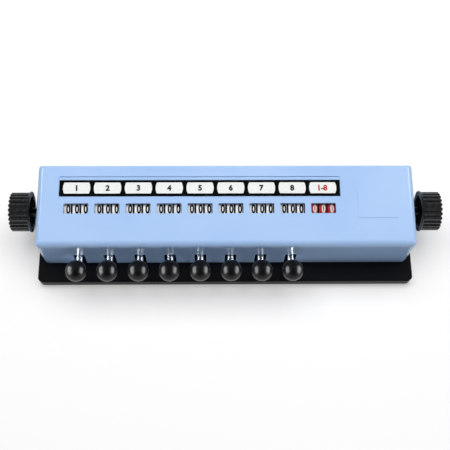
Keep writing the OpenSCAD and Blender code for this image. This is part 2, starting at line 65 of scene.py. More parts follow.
def addNode(tree, kind, inputs=None, **settings):
    # a node with its settings; an input is a value or a socket to link from
    node = tree.nodes.new(kind)
    for name, value in settings.items():
        setattr(node, name, value)
    for socket, value in (inputs or {}).items():
        if isinstance(value, bpy.types.NodeSocket):
            tree.links.new(value, node.inputs[socket])
        else:
            node.inputs[socket].default_value = value
    return node


def newMaterial(name, **sockets):
    # material with constant sockets set; an underscore in a name stands for a space
    material = bpy.data.materials.new(name)
    material.use_nodes = True
    tree = material.node_tree
    shader = tree.nodes["Principled BSDF"]
    for socket, value in sockets.items():
        shader.inputs[socket.replace("_", " ")].default_value = value
    return material, tree, shader


def grainNoise(tree, grain, detail=3.0, stretch=(1, 1, 1)):
    # cloudy pattern fixed to the piece, with patches about as wide as the grain in mm
    place = addNode(tree, "ShaderNodeTexCoord").outputs["Object"]
    mapped = addNode(tree, "ShaderNodeMapping", {"Vector": place, "Scale": stretch})
    noise = addNode(tree, "ShaderNodeTexNoise",
                    {"Vector": mapped.outputs["Vector"], "Scale": 1 / (grain * mm),
                     "Detail": detail})
    return noise.outputs["Fac"]


def between(tree, factor, first, second, low=0.35, high=0.65):
    # colour that runs from one tone to the other as the factor runs from low to high
    ramp = addNode(tree, "ShaderNodeMapRange",
                   {"Value": factor, "From Min": low, "From Max": high})
    mix = addNode(tree, "ShaderNodeMix",
                  {"Factor": ramp.outputs["Result"], 6: linearColour(first),
                   7: linearColour(second)}, data_type="RGBA")
    return mix.outputs[2]


def dress(name, material):
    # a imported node's only material
    mesh = nodes[name].data
    mesh.materials.clear()
    mesh.materials.append(material)


def newPiece(name, mesh, material, body, slot, *replaced):
    # a visible piece on a body; a mesh from a tree has its material already
    piece = bpy.data.objects.new(name, mesh)
    bpy.context.scene.collection.objects.link(piece)
    if material:
        mesh.materials.clear()
        mesh.materials.append(material)
    if replaced:
        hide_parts(*replaced)
    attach(piece, body)
    return piece


# the camera of the photo, fitted to the object's corners
camera = {
    "place": (-15.1, -236.3, 680.3),    # mm from the middle of the bench face
    "pitch": 69.78, "yaw": 1.18, "roll": -0.14,    # degrees
    "focalPixels": 829.7, "photoWidth": 450, "sensor": 36, "clipStart": 0.01, "clipEnd": 20,
}


def makeCamera(facts):
    pitch, yaw, roll = (math.radians(facts[k]) for k in ("pitch", "yaw", "roll"))
    forward = Vector((0, math.cos(pitch), -math.sin(pitch)))
    right = Vector((1, 0, 0))
    up = right.cross(forward)
    turnedForward = forward * math.cos(yaw) + right * math.sin(yaw)
    turnedRight = right * math.cos(yaw) - forward * math.sin(yaw)
    rolledRight = turnedRight * math.cos(roll) + up * math.sin(roll)
    rolledUp = up * math.cos(roll) - turnedRight * math.sin(roll)
    data = bpy.data.cameras.new("camera")
    data.sensor_width = facts["sensor"]
    data.lens = facts["focalPixels"] / facts["photoWidth"] * facts["sensor"]
    data.clip_start, data.clip_end = facts["clipStart"], facts["clipEnd"]
    seat = bpy.data.objects.new("camera", data)
    axes = Matrix((rolledRight, rolledUp, -turnedForward)).transposed().to_4x4()
    seat.matrix_world = Matrix.Translation(Vector(facts["place"]) * mm) @ axes
    bpy.context.scene.collection.objects.link(seat)
    bpy.context.scene.camera = seat


makeCamera(camera)


# floor, world and lamps of a white studio
stage = {
    "floorSize": 6.0, "floorWhite": "#D6D6D6", "floorOwnLight": 0.38,
    "skyLight": 0.12, "backdrop": 1.0, "ceiling": 0.02, "ceilingStart": 0.15,
    "ceilingFull": 0.35,    # the rise of a ray at which the dark ceiling is full
}
lamps = [    # name, place, aim, width, depth, watts, kind of ray that passes it by
    ("overhead softbox", (0.0, 0.45, 1.5), (0, 0, 0.03), 2.0, 1.0, 27.0, "glossy"),
    ("front fill", (0.9, -1.1, 0.5), (0, 0, 0.03), 0.8, 0.5, 2.0, "glossy"),
    ("left reflector", (-1.1, -0.08, 0.58), (0, -0.08, 0.58), 1.35, 0.94, 54.0, "diffuse"),
    ("right reflector", (1.1, -0.08, 0.58), (0, -0.08, 0.58), 1.35, 0.94, 54.0, "diffuse"),
    ("left edge light", (-0.9, 0.5, 1.05), (0, 0, 0.05), 0.3, 0.45, 6.0, "diffuse"),
    ("right edge light", (0.9, 0.5, 1.05), (0, 0, 0.05), 0.3, 0.45, 6.0, "diffuse"),
]


def seenAsBackground(tree):
    # 1 for rays from the camera, by way of a mirror or through glass, and 0 for light
    path = addNode(tree, "ShaderNodeLightPath").outputs
    seen = addNode(tree, "ShaderNodeMath", {0: path["Is Camera Ray"], 1: path["Is Glossy Ray"]},
                   operation="MAXIMUM").outputs[0]
    return addNode(tree, "ShaderNodeMath", {0: seen, 1: path["Is Transmission Ray"]},
                   operation="MAXIMUM").outputs[0]


def makeFloor(facts):
    half = facts["floorSize"] / 2
    mesh = bpy.data.meshes.new("floor")
    mesh.from_pydata([(-half, -half, 0), (half, -half, 0), (half, half, 0), (-half, half, 0)],
                     [], [(0, 1, 2, 3)])
    floor = bpy.data.objects.new("floor", mesh)
    bpy.context.scene.collection.objects.link(floor)
    # matt paper that glows a little to the eye alone, so it is white and keeps the shadow
    material, tree, shader = newMaterial("whitePaperSweep", Roughness=0.6,
                                         Base_Color=linearColour(facts["floorWhite"]),
                                         Specular_IOR_Level=0.2, Emission_Color=(1, 1, 1, 1))
    glow = addNode(tree, "ShaderNodeMath",
                   {0: seenAsBackground(tree), 1: facts["floorOwnLight"]}, operation="MULTIPLY")
    tree.links.new(glow.outputs[0], shader.inputs["Emission Strength"])
    mesh.materials.append(material)


def makeWorld(facts):
    world = bpy.data.worlds.new("studio")
    bpy.context.scene.world = world
    world.use_nodes = True
    tree = world.node_tree
    background = tree.nodes["Background"]
    # gloss sees a white surround with a dark ceiling, which keeps the black plastics black
    height = addNode(tree, "ShaderNodeSeparateXYZ",
                     {0: addNode(tree, "ShaderNodeTexCoord").outputs["Generated"]}).outputs["Z"]
    ceiling = addNode(tree, "ShaderNodeMapRange",
                      {"Value": height, "From Min": facts["ceilingStart"],
                       "From Max": facts["ceilingFull"], "To Min": facts["backdrop"],
                       "To Max": facts["ceiling"]})
    cameraRay = addNode(tree, "ShaderNodeLightPath").outputs["Is Camera Ray"]
    tent = addNode(tree, "ShaderNodeMix",
                   {"Factor": cameraRay, 2: ceiling.outputs["Result"], 3: facts["backdrop"]},
                   data_type="FLOAT")
    level = addNode(tree, "ShaderNodeMix",
                    {"Factor": seenAsBackground(tree), 2: facts["skyLight"],
                     3: tent.outputs[0]}, data_type="FLOAT")
    tree.links.new(level.outputs[0], background.inputs["Strength"])
    background.inputs["Color"].default_value = (1, 1, 1, 1)


def makeLamps(rows):
    for name, place, aim, width, depth, watts, passedBy in rows:
        data = bpy.data.lights.new(name, "AREA")
        data.shape, data.size, data.size_y, data.energy = "RECTANGLE", width, depth, watts
        lamp = bpy.data.objects.new(name, data)
        lamp.location = place
        toAim = Vector(aim) - Vector(place)
        lamp.rotation_euler = toAim.to_track_quat("-Z", "Y").to_euler()
        setattr(lamp, "visible_" + passedBy, False)
        bpy.context.scene.collection.objects.link(lamp)


def lightOnly(lamp, names):
    # the left and the right lamp of this kind shine on the named nodes alone
    lit = bpy.data.collections.new("lit by the %ss" % lamp)
    for name in names:
        lit.objects.link(nodes[name])
    for side in ("left ", "right "):
        bpy.data.objects[side + lamp].light_linking.receiver_collection = lit


bpy.context.scene.view_settings.view_transform = "Standard"
makeFloor(stage)
makeWorld(stage)
makeLamps(lamps)
print("camera, floor and lamps made")


# materials

def glossyMouldedAbs():
    # ABS from a polished mould: even gloss, with the faint waviness that sinks leave
    material, tree, shader = newMaterial("glossyMouldedAbs", Roughness=0.18, IOR=1.5,
                                         Specular_IOR_Level=0.4)
    cloud = grainNoise(tree, grain=71.4, detail=2)
    tree.links.new(between(tree, cloud, "#AACCFA", "#B2D2FC"), shader.inputs["Base Color"])
    sinks = addNode(tree, "ShaderNodeBump", {"Height": grainNoise(tree, grain=16.7, detail=1),
                                             "Strength": 0.03, "Distance": 1 * mm})
    tree.links.new(sinks.outputs["Normal"], shader.inputs["Normal"])
    return material


def smoothBlackBase():
    # smooth black moulding: near black from above, mirrors at a slant, blurred by fine scuffs
    material, tree, shader = newMaterial("smoothBlackBase", IOR=1.45, Specular_IOR_Level=0.05,
                                         Base_Color=linearColour("#1A1B1D"))
    blur = addNode(tree, "ShaderNodeMapRange",
                   {"Value": grainNoise(tree, grain=3.33, detail=6), "From Min": 0.3,
                    "From Max": 0.7, "To Min": 0.1, "To Max": 0.2})
    tree.links.new(blur.outputs["Result"], shader.inputs["Roughness"])
    return material


def mouldedBlackPhenolic():
    # compression-moulded phenolic: soft black with gloss, broken up by a fine grain
    material, tree, shader = newMaterial("mouldedBlackPhenolic", Roughness=0.15, IOR=1.6)
    filler = grainNoise(tree, grain=2.5)
    tree.links.new(between(tree, filler, "#212324", "#2C2E30", low=0.4, high=0.6),
                   shader.inputs["Base Color"])
    pores = addNode(tree, "ShaderNodeBump", {"Height": grainNoise(tree, grain=0.667, detail=2),
                                             "Strength": 0.05, "Distance": 0.2 * mm})
    tree.links.new(pores.outputs["Normal"], shader.inputs["Normal"])
    return material


def tumbledBlackPhenolic():
    # tumbled phenolic ball: soft gloss with broad highlights, and a trace of flow marks
    material, tree, shader = newMaterial("tumbledBlackPhenolic", Roughness=0.28, IOR=1.33)
    flow = grainNoise(tree, grain=6.67, detail=4)
    tree.links.new(between(tree, flow, "#0A0B0D", "#101214", low=0.4, high=0.6),
                   shader.inputs["Base Color"])
    return material


def chromePlate():
    # chrome over turned steel: sharp round the stem, and drawn out along it by the lathe's rings
    material, tree, shader = newMaterial("chromePlate", Metallic=1.0, Roughness=0.27,
                                         Anisotropic=0.95, Base_Color=linearColour("#F2F4F6"))
    along = addNode(tree, "ShaderNodeCombineXYZ", {"Y": 1.0})
    tree.links.new(along.outputs[0], shader.inputs["Tangent"])
    return material


def groundSteel(name, hexDark, hexLight, roughness, stretch=(1, 1, 1)):
    # metal drawn, ground or turned: where a stretch is given, its streaks are long in X
    material, tree, shader = newMaterial(name, Metallic=1.0, Roughness=roughness)
    streaks = grainNoise(tree, grain=0.833, stretch=stretch)
    tree.links.new(between(tree, streaks, hexDark, hexLight), shader.inputs["Base Color"])
    scratches = addNode(tree, "ShaderNodeBump",
                        {"Height": streaks, "Strength": 0.08, "Distance": 0.2 * mm})
    tree.links.new(scratches.outputs["Normal"], shader.inputs["Normal"])
    return material


def plainPlastic(name, hexDark, hexLight, roughness):
    # moulded part with the fine matt grain of a spark-eroded mould
    material, tree, shader = newMaterial(name, Roughness=roughness, IOR=1.5)
    erosion = grainNoise(tree, grain=1.43)
    tree.links.new(between(tree, erosion, hexDark, hexLight), shader.inputs["Base Color"])
    dimples = addNode(tree, "ShaderNodeBump",
                      {"Height": erosion, "Strength": 0.06, "Distance": 0.2 * mm})
    tree.links.new(dimples.outputs["Normal"], shader.inputs["Normal"])
    return material


def wheelPlastic(name, bandDark, bandLight, discAndGapShadeHex, axle):
    # satin wheel moulding; only its band is light: its toothed disc is black, and its flat sides
    # are painted black too, a painted shade that darkens the gaps between the wheels
    material, tree, shader = newMaterial(name, Roughness=0.42, IOR=1.5)
    place = addNode(tree, "ShaderNodeTexCoord").outputs
    fromAxle = addNode(tree, "ShaderNodeVectorMath",
                       {0: place["Object"], 1: (0, axle["y"], axle["z"])}, operation="SUBTRACT")
    acrossAxle = addNode(tree, "ShaderNodeVectorMath",
                         {0: fromAxle.outputs[0], 1: (0, 1, 1)}, operation="MULTIPLY")
    radius = addNode(tree, "ShaderNodeVectorMath", {0: acrossAxle.outputs[0]},
                     operation="LENGTH")
    band = addNode(tree, "ShaderNodeMath", {0: radius.outputs["Value"], 1: axle["discRadius"]},
                   operation="GREATER_THAN")
    # faces that look along the axle take the disc's black: painted shade for the gaps between
    # wheels
    sideways = addNode(tree, "ShaderNodeVectorMath", {0: place["Normal"], 1: (1, 0, 0)},
                       operation="DOT_PRODUCT")
    rim = addNode(tree, "ShaderNodeMath", {0: sideways.outputs["Value"], 1: 0.0, 2: 0.5},
                  operation="COMPARE")
    printed = addNode(tree, "ShaderNodeMath", {0: band.outputs[0], 1: rim.outputs[0]},
                      operation="MULTIPLY")
    mix = addNode(tree, "ShaderNodeMix",
                  {"Factor": printed.outputs[0], 6: linearColour(discAndGapShadeHex),
                   7: between(tree, grainNoise(tree, grain=2.0), bandDark, bandLight)},
                  data_type="RGBA")
    tree.links.new(mix.outputs[2], shader.inputs["Base Color"])
    return material


def printedInk(name, hexDark, hexLight):
    # screen-printed ink: dead matt, a little lighter where it lies thin
    material, tree, shader = newMaterial(name, Roughness=0.6)
    thin = grainNoise(tree, grain=0.4)
    tree.links.new(between(tree, thin, hexDark, hexLight, low=0.4, high=0.6),
                   shader.inputs["Base Color"])
    return material


resetPlace = joints["reset_turn"]["pos_m"]
axle = {"y": resetPlace[1], "z": resetPlace[2],
        "discRadius": 12.3 * mm}    # just over the toothed disc beside each wheel's band
casingPlastic = glossyMouldedAbs()
basePlastic = smoothBlackBase()
knobPlastic = mouldedBlackPhenolic()
ballPlastic = tumbledBlackPhenolic()
stemChrome = chromePlate()
shaftSteel = groundSteel("oiledShaftSteel", "#5A524A", "#6E655C", 0.35, (1, 20, 20))
sheetSteel = groundSteel("zincSheetSteel", "#9DA1A4", "#B4B7B9", 0.4, (1, 8, 8))
rodSteel = groundSteel("groundRodSteel", "#8E9194", "#A6A9AB", 0.25, (1, 20, 20))
screwZinc = groundSteel("zincScrews", "#8C8E8A", "#A5A7A2", 0.35)
bushBrass = groundSteel("turnedBrass", "#A98444", "#C29C5A", 0.3)
bellNickel = groundSteel("nickelBell", "#C6C7C4", "#D8D9D6", 0.15)
pinionNylon = plainPlastic("naturalNylon", "#DDD8C8", "#E8E4D6", 0.5)
stripPlastic = plainPlastic("blackLabelStrip", "#060709", "#0B0C0E", 0.25)
labelCard = plainPlastic("whiteLabelVinyl", "#EEF2F0", "#F8FAF9", 0.45)
footRubber = plainPlastic("blackRubber", "#141414", "#1C1C1C", 0.8)
# the last colour is the toothed disc's, also painted on the wheels' flat sides as shade in the
# gaps
whiteWheel = wheelPlastic("whiteWheelAbs", "#F4F5F5", "#FAFBFB", "#0A0A0B", axle)
redWheel = wheelPlastic("redWheelAbs", "#B3202A", "#BC2832", "#1A0507", axle)
blackInk = printedInk("blackInk", "#08090B", "#121315")
redInk = printedInk("redInk", "#C8302C", "#D23A36")
whiteInk = printedInk("whiteInk", "#F0F0EE", "#FAFAF8")
print("materials made")


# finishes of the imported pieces
dress("casing", casingPlastic)
dress("base_plate", basePlastic)
dress("rubber_feet", footRubber)
dress("base_screws", screwZinc)
dress("reset_shaft", shaftSteel)
dress("shaft_bushes", bushBrass)
dress("mechanism_frame", sheetSteel)
dress("total_bail", sheetSteel)
for rodNode in ("frame_rods", "return_springs", "bell_post", "bell_hammer"):
    dress(rodNode, rodSteel)
dress("bell", bellNickel)
dress("carry_pinions", pinionNylon)
dress("label_strip", stripPlastic)
for side in ("left", "right"):
    dress("reset_knob_" + side, knobPlastic)
for n in range(1, 9):
    dress("key_lever_%d" % n, stemChrome)
    dress("key_ball_%d" % n, ballPlastic)
lightOnly("reflector", [part + "_%d" % n for part in ("key_lever", "key_ball")
                        for n in range(1, 9)])
lightOnly("edge light", ["casing"])
for counter in counterNames:
    for place in placeNames:
        dress(counter + "_" + place, redWheel if counter == "total" else whiteWheel)
print("packed pieces dressed")

# shapes that several pieces use

def turned(profile, segments):
    # closed mesh turned about X from (along, radius) points in mm; zero radius makes a pole
    form = bmesh.new()
    rings = []
    for along, radius in profile:
        steps = segments if radius > 1e-6 else 1
        rings.append([form.verts.new((along * mm,
                                      -radius * mm * math.sin(2 * math.pi * i / segments),
                                      radius * mm * math.cos(2 * math.pi * i / segments)))
                      for i in range(steps)])
    for first, second in zip(rings, rings[1:]):
        for i in range(segments):
            j = (i + 1) % segments
            corners = [first[i % len(first)], first[j % len(first)],
                       second[j % len(second)], second[i % len(second)]]
            corners = list(dict.fromkeys(corners))
            if len(corners) > 2:
                form.faces.new(corners)
    bmesh.ops.recalc_face_normals(form, faces=form.faces)
    mesh = bpy.data.meshes.new("turned")
    form.to_mesh(mesh)
    form.free()
    return mesh


def flatText(text, height, squeeze, weight, thickness):
    # one line of bold numerals, centred, with the given height in mm, as a thin solid
    curve = bpy.data.curves.new("numerals", "FONT")
    curve.body, curve.offset, curve.resolution_u = text, weight, 5
    curve.align_x = "CENTER"
    holder = bpy.data.objects.new("numerals", curve)
    bpy.context.scene.collection.objects.link(holder)
    bpy.context.view_layer.update()
    evaluated = holder.evaluated_get(bpy.context.evaluated_depsgraph_get())
    mesh = bpy.data.meshes.new_from_object(evaluated)
    bpy.data.objects.remove(holder)
    form = bmesh.new()
    form.from_mesh(mesh)
    bmesh.ops.remove_doubles(form, verts=form.verts, dist=1e-5)
    low = Vector([min(v.co[k] for v in form.verts) for k in range(3)])
    high = Vector([max(v.co[k] for v in form.verts) for k in range(3)])
    scale = height * mm / (high.y - low.y)
    middle = (low + high) / 2
    for v in form.verts:
        v.co = Vector(((v.co.x - middle.x) * scale * squeeze, (v.co.y - middle.y) * scale, 0))
    for face in form.faces:
        if face.normal.z < 0:
            face.normal_flip()
    grown = bmesh.ops.extrude_face_region(form, geom=form.faces[:])["geom"]
    top = [part for part in grown if isinstance(part, bmesh.types.BMVert)]
    bmesh.ops.translate(form, verts=top, vec=(0, 0, thickness * mm))
    bmesh.ops.recalc_face_normals(form, faces=form.faces)
    form.to_mesh(mesh)
    form.free()
    return mesh


def slab(outline, thickness, bevel):
    # thin solid from an outline in mm; its top shrinks by the bevel, as a share of the
    # 12 x 5 mm that a label reaches from its middle
    form = bmesh.new()
    levels = [(0, 1, 1), (thickness - bevel, 1, 1), (thickness, 1 - bevel / 12, 1 - bevel / 5)]
    rings = [[form.verts.new((x * shareX * mm, y * shareY * mm, z * mm)) for x, y in outline]
             for z, shareX, shareY in levels]
    count = len(outline)
    form.faces.new(list(reversed(rings[0])))
    form.faces.new(rings[-1])
    for lower, upper in zip(rings, rings[1:]):
        for i in range(count):
            j = (i + 1) % count
            form.faces.new((lower[i], lower[j], upper[j], upper[i]))
    mesh = bpy.data.meshes.new("slab")
    form.to_mesh(mesh)
    form.free()
    return mesh


def joined(meshes, moves):
    # one mesh from several, each moved by its own matrix
    form = bmesh.new()
    for mesh, move in zip(meshes, moves):
        part = mesh.copy()
        part.transform(move)
        form.from_mesh(part)
        bpy.data.meshes.remove(part)
    made = bpy.data.meshes.new("joined")
    form.to_mesh(made)
    form.free()
    return made


def smoothed(mesh, degrees):
    # smooth shading that keeps every edge sharper than the angle
    form = bmesh.new()
    form.from_mesh(mesh)
    for face in form.faces:
        face.smooth = True
    for edge in form.edges:
        edge.smooth = edge.calc_face_angle(0) < math.radians(degrees)
    form.to_mesh(mesh)
    form.free()
    return mesh


# geometry node trees

def newTree(name, numbers):
    # a geometry tree with the sizes that it takes as named inputs
    tree = bpy.data.node_groups.new(name, "GeometryNodeTree")
    kinds = {int: "NodeSocketInt", float: "NodeSocketFloat", tuple: "NodeSocketVector",
             bpy.types.Object: "NodeSocketObject"}
    for label, value in numbers.items():
        socket = tree.interface.new_socket(label, in_out="INPUT",
                                           socket_type=kinds[type(value)])
        if not isinstance(value, bpy.types.Object):
            socket.default_value = value
    tree.interface.new_socket("Geometry", in_out="OUTPUT", socket_type="NodeSocketGeometry")
    return tree, addNode(tree, "NodeGroupInput").outputs


def endTree(tree, geometry, material):
    # instances made real, with their material, as the tree's result
    real = addNode(tree, "GeometryNodeRealizeInstances", {"Geometry": geometry})
    coated = addNode(tree, "GeometryNodeSetMaterial",
                     {"Geometry": real.outputs[0], "Material": material})
    addNode(tree, "NodeGroupOutput", {"Geometry": coated.outputs[0]})


def grow(tree, numbers):
    # runs a tree with its inputs set and gives its result as a plain mesh
    holder = bpy.data.objects.new("grown", bpy.data.meshes.new("grown"))
    bpy.context.scene.collection.objects.link(holder)
    modifier = holder.modifiers.new("shape", "NODES")
    modifier.node_group = tree
    for item in tree.interface.items_tree:
        if item.in_out == "INPUT" and item.name in numbers:
            modifier[item.identifier] = numbers[item.name]
    bpy.context.view_layer.update()
    evaluated = holder.evaluated_get(bpy.context.evaluated_depsgraph_get())
    mesh = bpy.data.meshes.new_from_object(evaluated)
    holder.modifiers.remove(modifier)
    bpy.data.objects.remove(holder)
    return mesh


def pattern(mesh):
    # an object that carries a mesh into a tree; it is taken away after use
    holder = bpy.data.objects.new("pattern", mesh)
    bpy.context.scene.collection.objects.link(holder)
    return holder


def dropPatterns(*holders):
    for holder in holders:
        bpy.data.objects.remove(holder)


# reset knobs
knob = {    # mm, along the axis from the open inner end
    "length": 17.0, "rimRadius": 16.9, "rimWidth": 1.3, "rimRound": 0.4, "coreRadius": 14.8,
    "ribs": 24, "ribRadius": 1.5, "ribCircle": 14.6, "ribStart": 0.6, "ribEnd": 17.0,
    "hollow": 12.6, "endWall": 3.0, "hubRadius": 5.5, "hubStart": 4.0, "hubRound": 0.3,
    "bore": 3.52, "boreEnd": 15.2, "dish": 10.4,
    # back from the outer end, and out from the dish or in from the core
    "dishEdge": [(1.2, 0), (1.05, 0.35), (0.5, 0.6), (0.3, 0.9)],
    "shoulder": [(0.3, 2.2), (0.45, 1.6), (0.9, 0.9), (1.6, 0.3), (2.4, 0)],
    "segments": 144, "ribSegments": 20,
}


def knobCore(size):
    # half section from the middle of the dished end, over the rim, into the cup and the bore
    end, core, rim, hollow = size["length"], size["coreRadius"], size["rimRadius"], size["hollow"]
    rimEnd, r, chamfer = size["rimWidth"], size["rimRound"], size["rimRound"] * 0.3
    hub, start, hubRound = size["hubRadius"], size["hubStart"], size["hubRound"]
    ceiling = end - size["endWall"]
    face = [(end - size["dishEdge"][0][0], 0)]
    face += [(end - back, size["dish"] + out) for back, out in size["dishEdge"]]
    face += [(end - back, core - inward) for back, inward in size["shoulder"]]
    flange = [(rimEnd + 0.3, core), (rimEnd, core + 0.3), (rimEnd, rim - r),
              (rimEnd - chamfer, rim - chamfer), (rimEnd - r, rim), (r, rim),
              (chamfer, rim - chamfer), (0, rim - r)]
    cup = [(0, hollow + r), (r, hollow), (ceiling - 0.6, hollow), (ceiling, hollow - 0.6),
           (ceiling, hub + 0.5), (ceiling - 0.5, hub)]
    boss = [(start + hubRound, hub), (start, hub - hubRound), (start, size["bore"]),
            (size["boreEnd"], size["bore"]), (size["boreEnd"], 0)]
    return turned(face + flange + cup + boss, size["segments"])


def knobRib(size):
    # round bar that ends in a quarter circle, laid on the core's surface
    reach, r = size["ribEnd"] - size["ribRadius"], size["ribRadius"]
    cap = [(reach + r * math.sin(a * math.pi / 12), r * math.cos(a * math.pi / 12))
           for a in range(6)]
    rib = turned([(size["ribStart"], 0), (size["ribStart"], r)] + cap + [(size["ribEnd"], 0)],
                 size["ribSegments"])
    rib.transform(Matrix.Translation((0, 0, size["ribCircle"] * mm)))
    return rib


def knobTree(core, rib, material):
    # ribs set round the core and fused with it
    tree, inputs = newTree("ribbedKnob", {"Ribs": 24, "Core": core, "Rib": rib})
    coreShape = addNode(tree, "GeometryNodeObjectInfo", {"Object": inputs["Core"]})
    ribShape = addNode(tree, "GeometryNodeObjectInfo", {"Object": inputs["Rib"]})
    spots = addNode(tree, "GeometryNodePoints", {"Count": inputs["Ribs"]})
    step = addNode(tree, "ShaderNodeMath", {0: 2 * math.pi, 1: inputs["Ribs"]},
                   operation="DIVIDE")
    index = addNode(tree, "GeometryNodeInputIndex").outputs[0]
    turn = addNode(tree, "ShaderNodeMath", {0: index, 1: step.outputs[0]}, operation="MULTIPLY")
    angle = addNode(tree, "ShaderNodeCombineXYZ", {"X": turn.outputs[0]})
    ring = addNode(tree, "GeometryNodeInstanceOnPoints",
                   {"Points": spots.outputs[0], "Instance": ribShape.outputs["Geometry"],
                    "Rotation": angle.outputs[0]})
    ribs = addNode(tree, "GeometryNodeRealizeInstances", {"Geometry": ring.outputs[0]})
    fused = addNode(tree, "GeometryNodeMeshBoolean", operation="UNION", solver="EXACT")
    tree.links.new(coreShape.outputs["Geometry"], fused.inputs["Mesh 2"])
    tree.links.new(ribs.outputs[0], fused.inputs["Mesh 2"])
    endTree(tree, fused.outputs[0], material)
    return tree


def makeKnobs(size):
    core, rib = pattern(knobCore(size)), pattern(knobRib(size))
    tree = knobTree(core, rib, knobPlastic)
    shape = smoothed(grow(tree, {"Ribs": size["ribs"], "Core": core, "Rib": rib}), 35)
    dropPatterns(core, rib)
    for side, turn in (("left", math.pi), ("right", 0.0)):
        low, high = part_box("reset_knob_" + side)
        openEnd = high.x if side == "left" else low.x
        mesh = shape.copy()
        mesh.transform(Matrix.Translation((openEnd, axle["y"], axle["z"]))
                       @ Matrix.Rotation(turn, 4, "Z"))
        newPiece("ribbedKnob" + side.capitalize(), mesh, None, "reset_shaft", "knob_plastic",
                 "reset_knob_" + side)


makeKnobs(knob)
print("reset knobs made")


# numerals on the number wheels
numerals = {    # mm
    "height": 7.9, "squeeze": 0.66, "totalSqueeze": 0.55, "weight": 0.045, "ink": 0.05,
    # the edge line is painted shade: black ink beside the gap between wheels
    "bandWidth": 5.8, "sideShift": 0.62, "gapShadeLine": 0.38, "cut": 0.9,
    "forward": 13.0,    # degrees from the top of the wheel to the numeral that shows
}


def numeralBand(size, radius, squeeze, gapShadeLine):
    # nought to nine in one column, a tenth of the wheel's circumference apart, with a black line
    # along the right edge that is painted shade widening the dark gap beside the wheel, all cut
    # across so that it can be bent round the wheel
    step = 2 * math.pi * radius / mm / 10
    lines = [flatText(str(value), size["height"], squeeze, size["weight"], size["ink"])
             for value in range(10)]
    moves = [Matrix.Translation((0, -value * step * mm, 0)) for value in range(10)]
    # black strip on the band's right edge, painted shade for the gap next to the wheel
    if gapShadeLine:
        right = size["bandWidth"] / 2 - size["sideShift"]
        lines.append(slab([(right - gapShadeLine, -9.5 * step), (right, -9.5 * step),
                           (right, step / 2), (right - gapShadeLine, step / 2)], size["ink"], 0))
        moves.append(Matrix())
    band = joined(lines, moves)
    form = bmesh.new()
    form.from_mesh(band)
    cuts = int(10 * step / size["cut"])
    for i in range(cuts):
        height = (step / 2 - i * size["cut"]) * mm
        bmesh.ops.bisect_plane(form, geom=form.verts[:] + form.edges[:] + form.faces[:],
                               plane_co=(0, height, 0), plane_no=(0, 1, 0))
    form.to_mesh(band)
    form.free()
    return band


def wrapTree(band, material, name):
    # bends a flat column round the axle: its height becomes the angle
    tree, inputs = newTree(name, {"Band": band, "Radius": 0.0155, "First angle": 0.2,
                                  "Centre": (0.0, 0.0, 0.0)})
    shape = addNode(tree, "GeometryNodeObjectInfo", {"Object": inputs["Band"]})
    place = addNode(tree, "ShaderNodeSeparateXYZ",
                    {0: addNode(tree, "GeometryNodeInputPosition").outputs[0]}).outputs
    climb = addNode(tree, "ShaderNodeMath", {0: place["Y"], 1: inputs["Radius"]},
                    operation="DIVIDE")
    angle = addNode(tree, "ShaderNodeMath", {0: inputs["First angle"], 1: climb.outputs[0]},
                    operation="SUBTRACT")
    reach = addNode(tree, "ShaderNodeMath", {0: inputs["Radius"], 1: place["Z"]},
                    operation="ADD")
    spoke = addNode(tree, "ShaderNodeCombineXYZ", {"X": place["X"], "Z": reach.outputs[0]})
    wound = addNode(tree, "ShaderNodeVectorRotate",
                    {"Vector": spoke.outputs[0], "Angle": angle.outputs[0]},
                    rotation_type="X_AXIS")
    wrapped = addNode(tree, "ShaderNodeVectorMath",
                      {0: wound.outputs[0], 1: inputs["Centre"]}, operation="ADD")
    moved = addNode(tree, "GeometryNodeSetPosition",
                    {"Geometry": shape.outputs["Geometry"], "Position": wrapped.outputs[0]})
    endTree(tree, moved.outputs[0], material)
    return tree


def makeWheelNumerals(size):
    lowest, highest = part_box("total_units")
    radius = (highest.z - lowest.z) / 2
    for ink, counters, squeeze, gapShadeLine in (
            (blackInk, counterNames[:-1], size["squeeze"], size["gapShadeLine"]),
            (whiteInk, counterNames[-1:], size["totalSqueeze"], 0)):
        band = pattern(numeralBand(size, radius, squeeze, gapShadeLine))
        tree = wrapTree(band, ink, ink.name + "Wrap")
        for node in [counter + "_" + place for counter in counters for place in placeNames]:
            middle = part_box(node)[0].x + (size["bandWidth"] / 2 + size["sideShift"]) * mm
            mesh = grow(tree, {"Band": band, "Radius": radius,
                               "First angle": math.radians(size["forward"]),
                               "Centre": (middle, axle["y"], axle["z"])})
            newPiece("numerals_" + node, mesh, None, node,
                     "wheel_red" if counters[0] == "total" else "wheel_white")
        dropPatterns(band)


makeWheelNumerals(numerals)
print("wheel numerals made")


# label strip with its labels
labels = {    # mm; the strip's own size comes from its node
    "tilt": 4.2,    # degrees, the slope of the casing's top
    "stripThickness": 0.6, "stripDepth": 13.8, "stripBevel": 0.12,
    "pitch": 25.0, "width": 22.2, "depth": 9.4, "bulge": 0.9, "cornerRadius": 0.5,
    "thickness": 0.18, "bevel": 0.06,
    "numeralHeight": 5.0, "squeeze": 1.0, "weight": 0.05, "ink": 0.04,
}


def barrelOutline(size):
    # label outline: straight long sides, bulging ends and small round corners
    halfWidth, halfDepth = size["width"] / 2, size["depth"] / 2
    inner, r = halfDepth - size["cornerRadius"], size["cornerRadius"]
    straight = halfWidth - size["bulge"]
    bulgeSide = [(straight + size["bulge"] * (1 - (t / 8) ** 2), inner * t / 8)
                 for t in range(-8, 9)]
    corner = [(straight - r * (1 - math.cos(a)), inner + r * math.sin(a))
              for a in (step * math.pi / 8 for step in range(1, 5))]
    right = [(x, -y) for x, y in reversed(corner)] + bulgeSide + corner
    return right + [(-x, -y) for x, y in right]


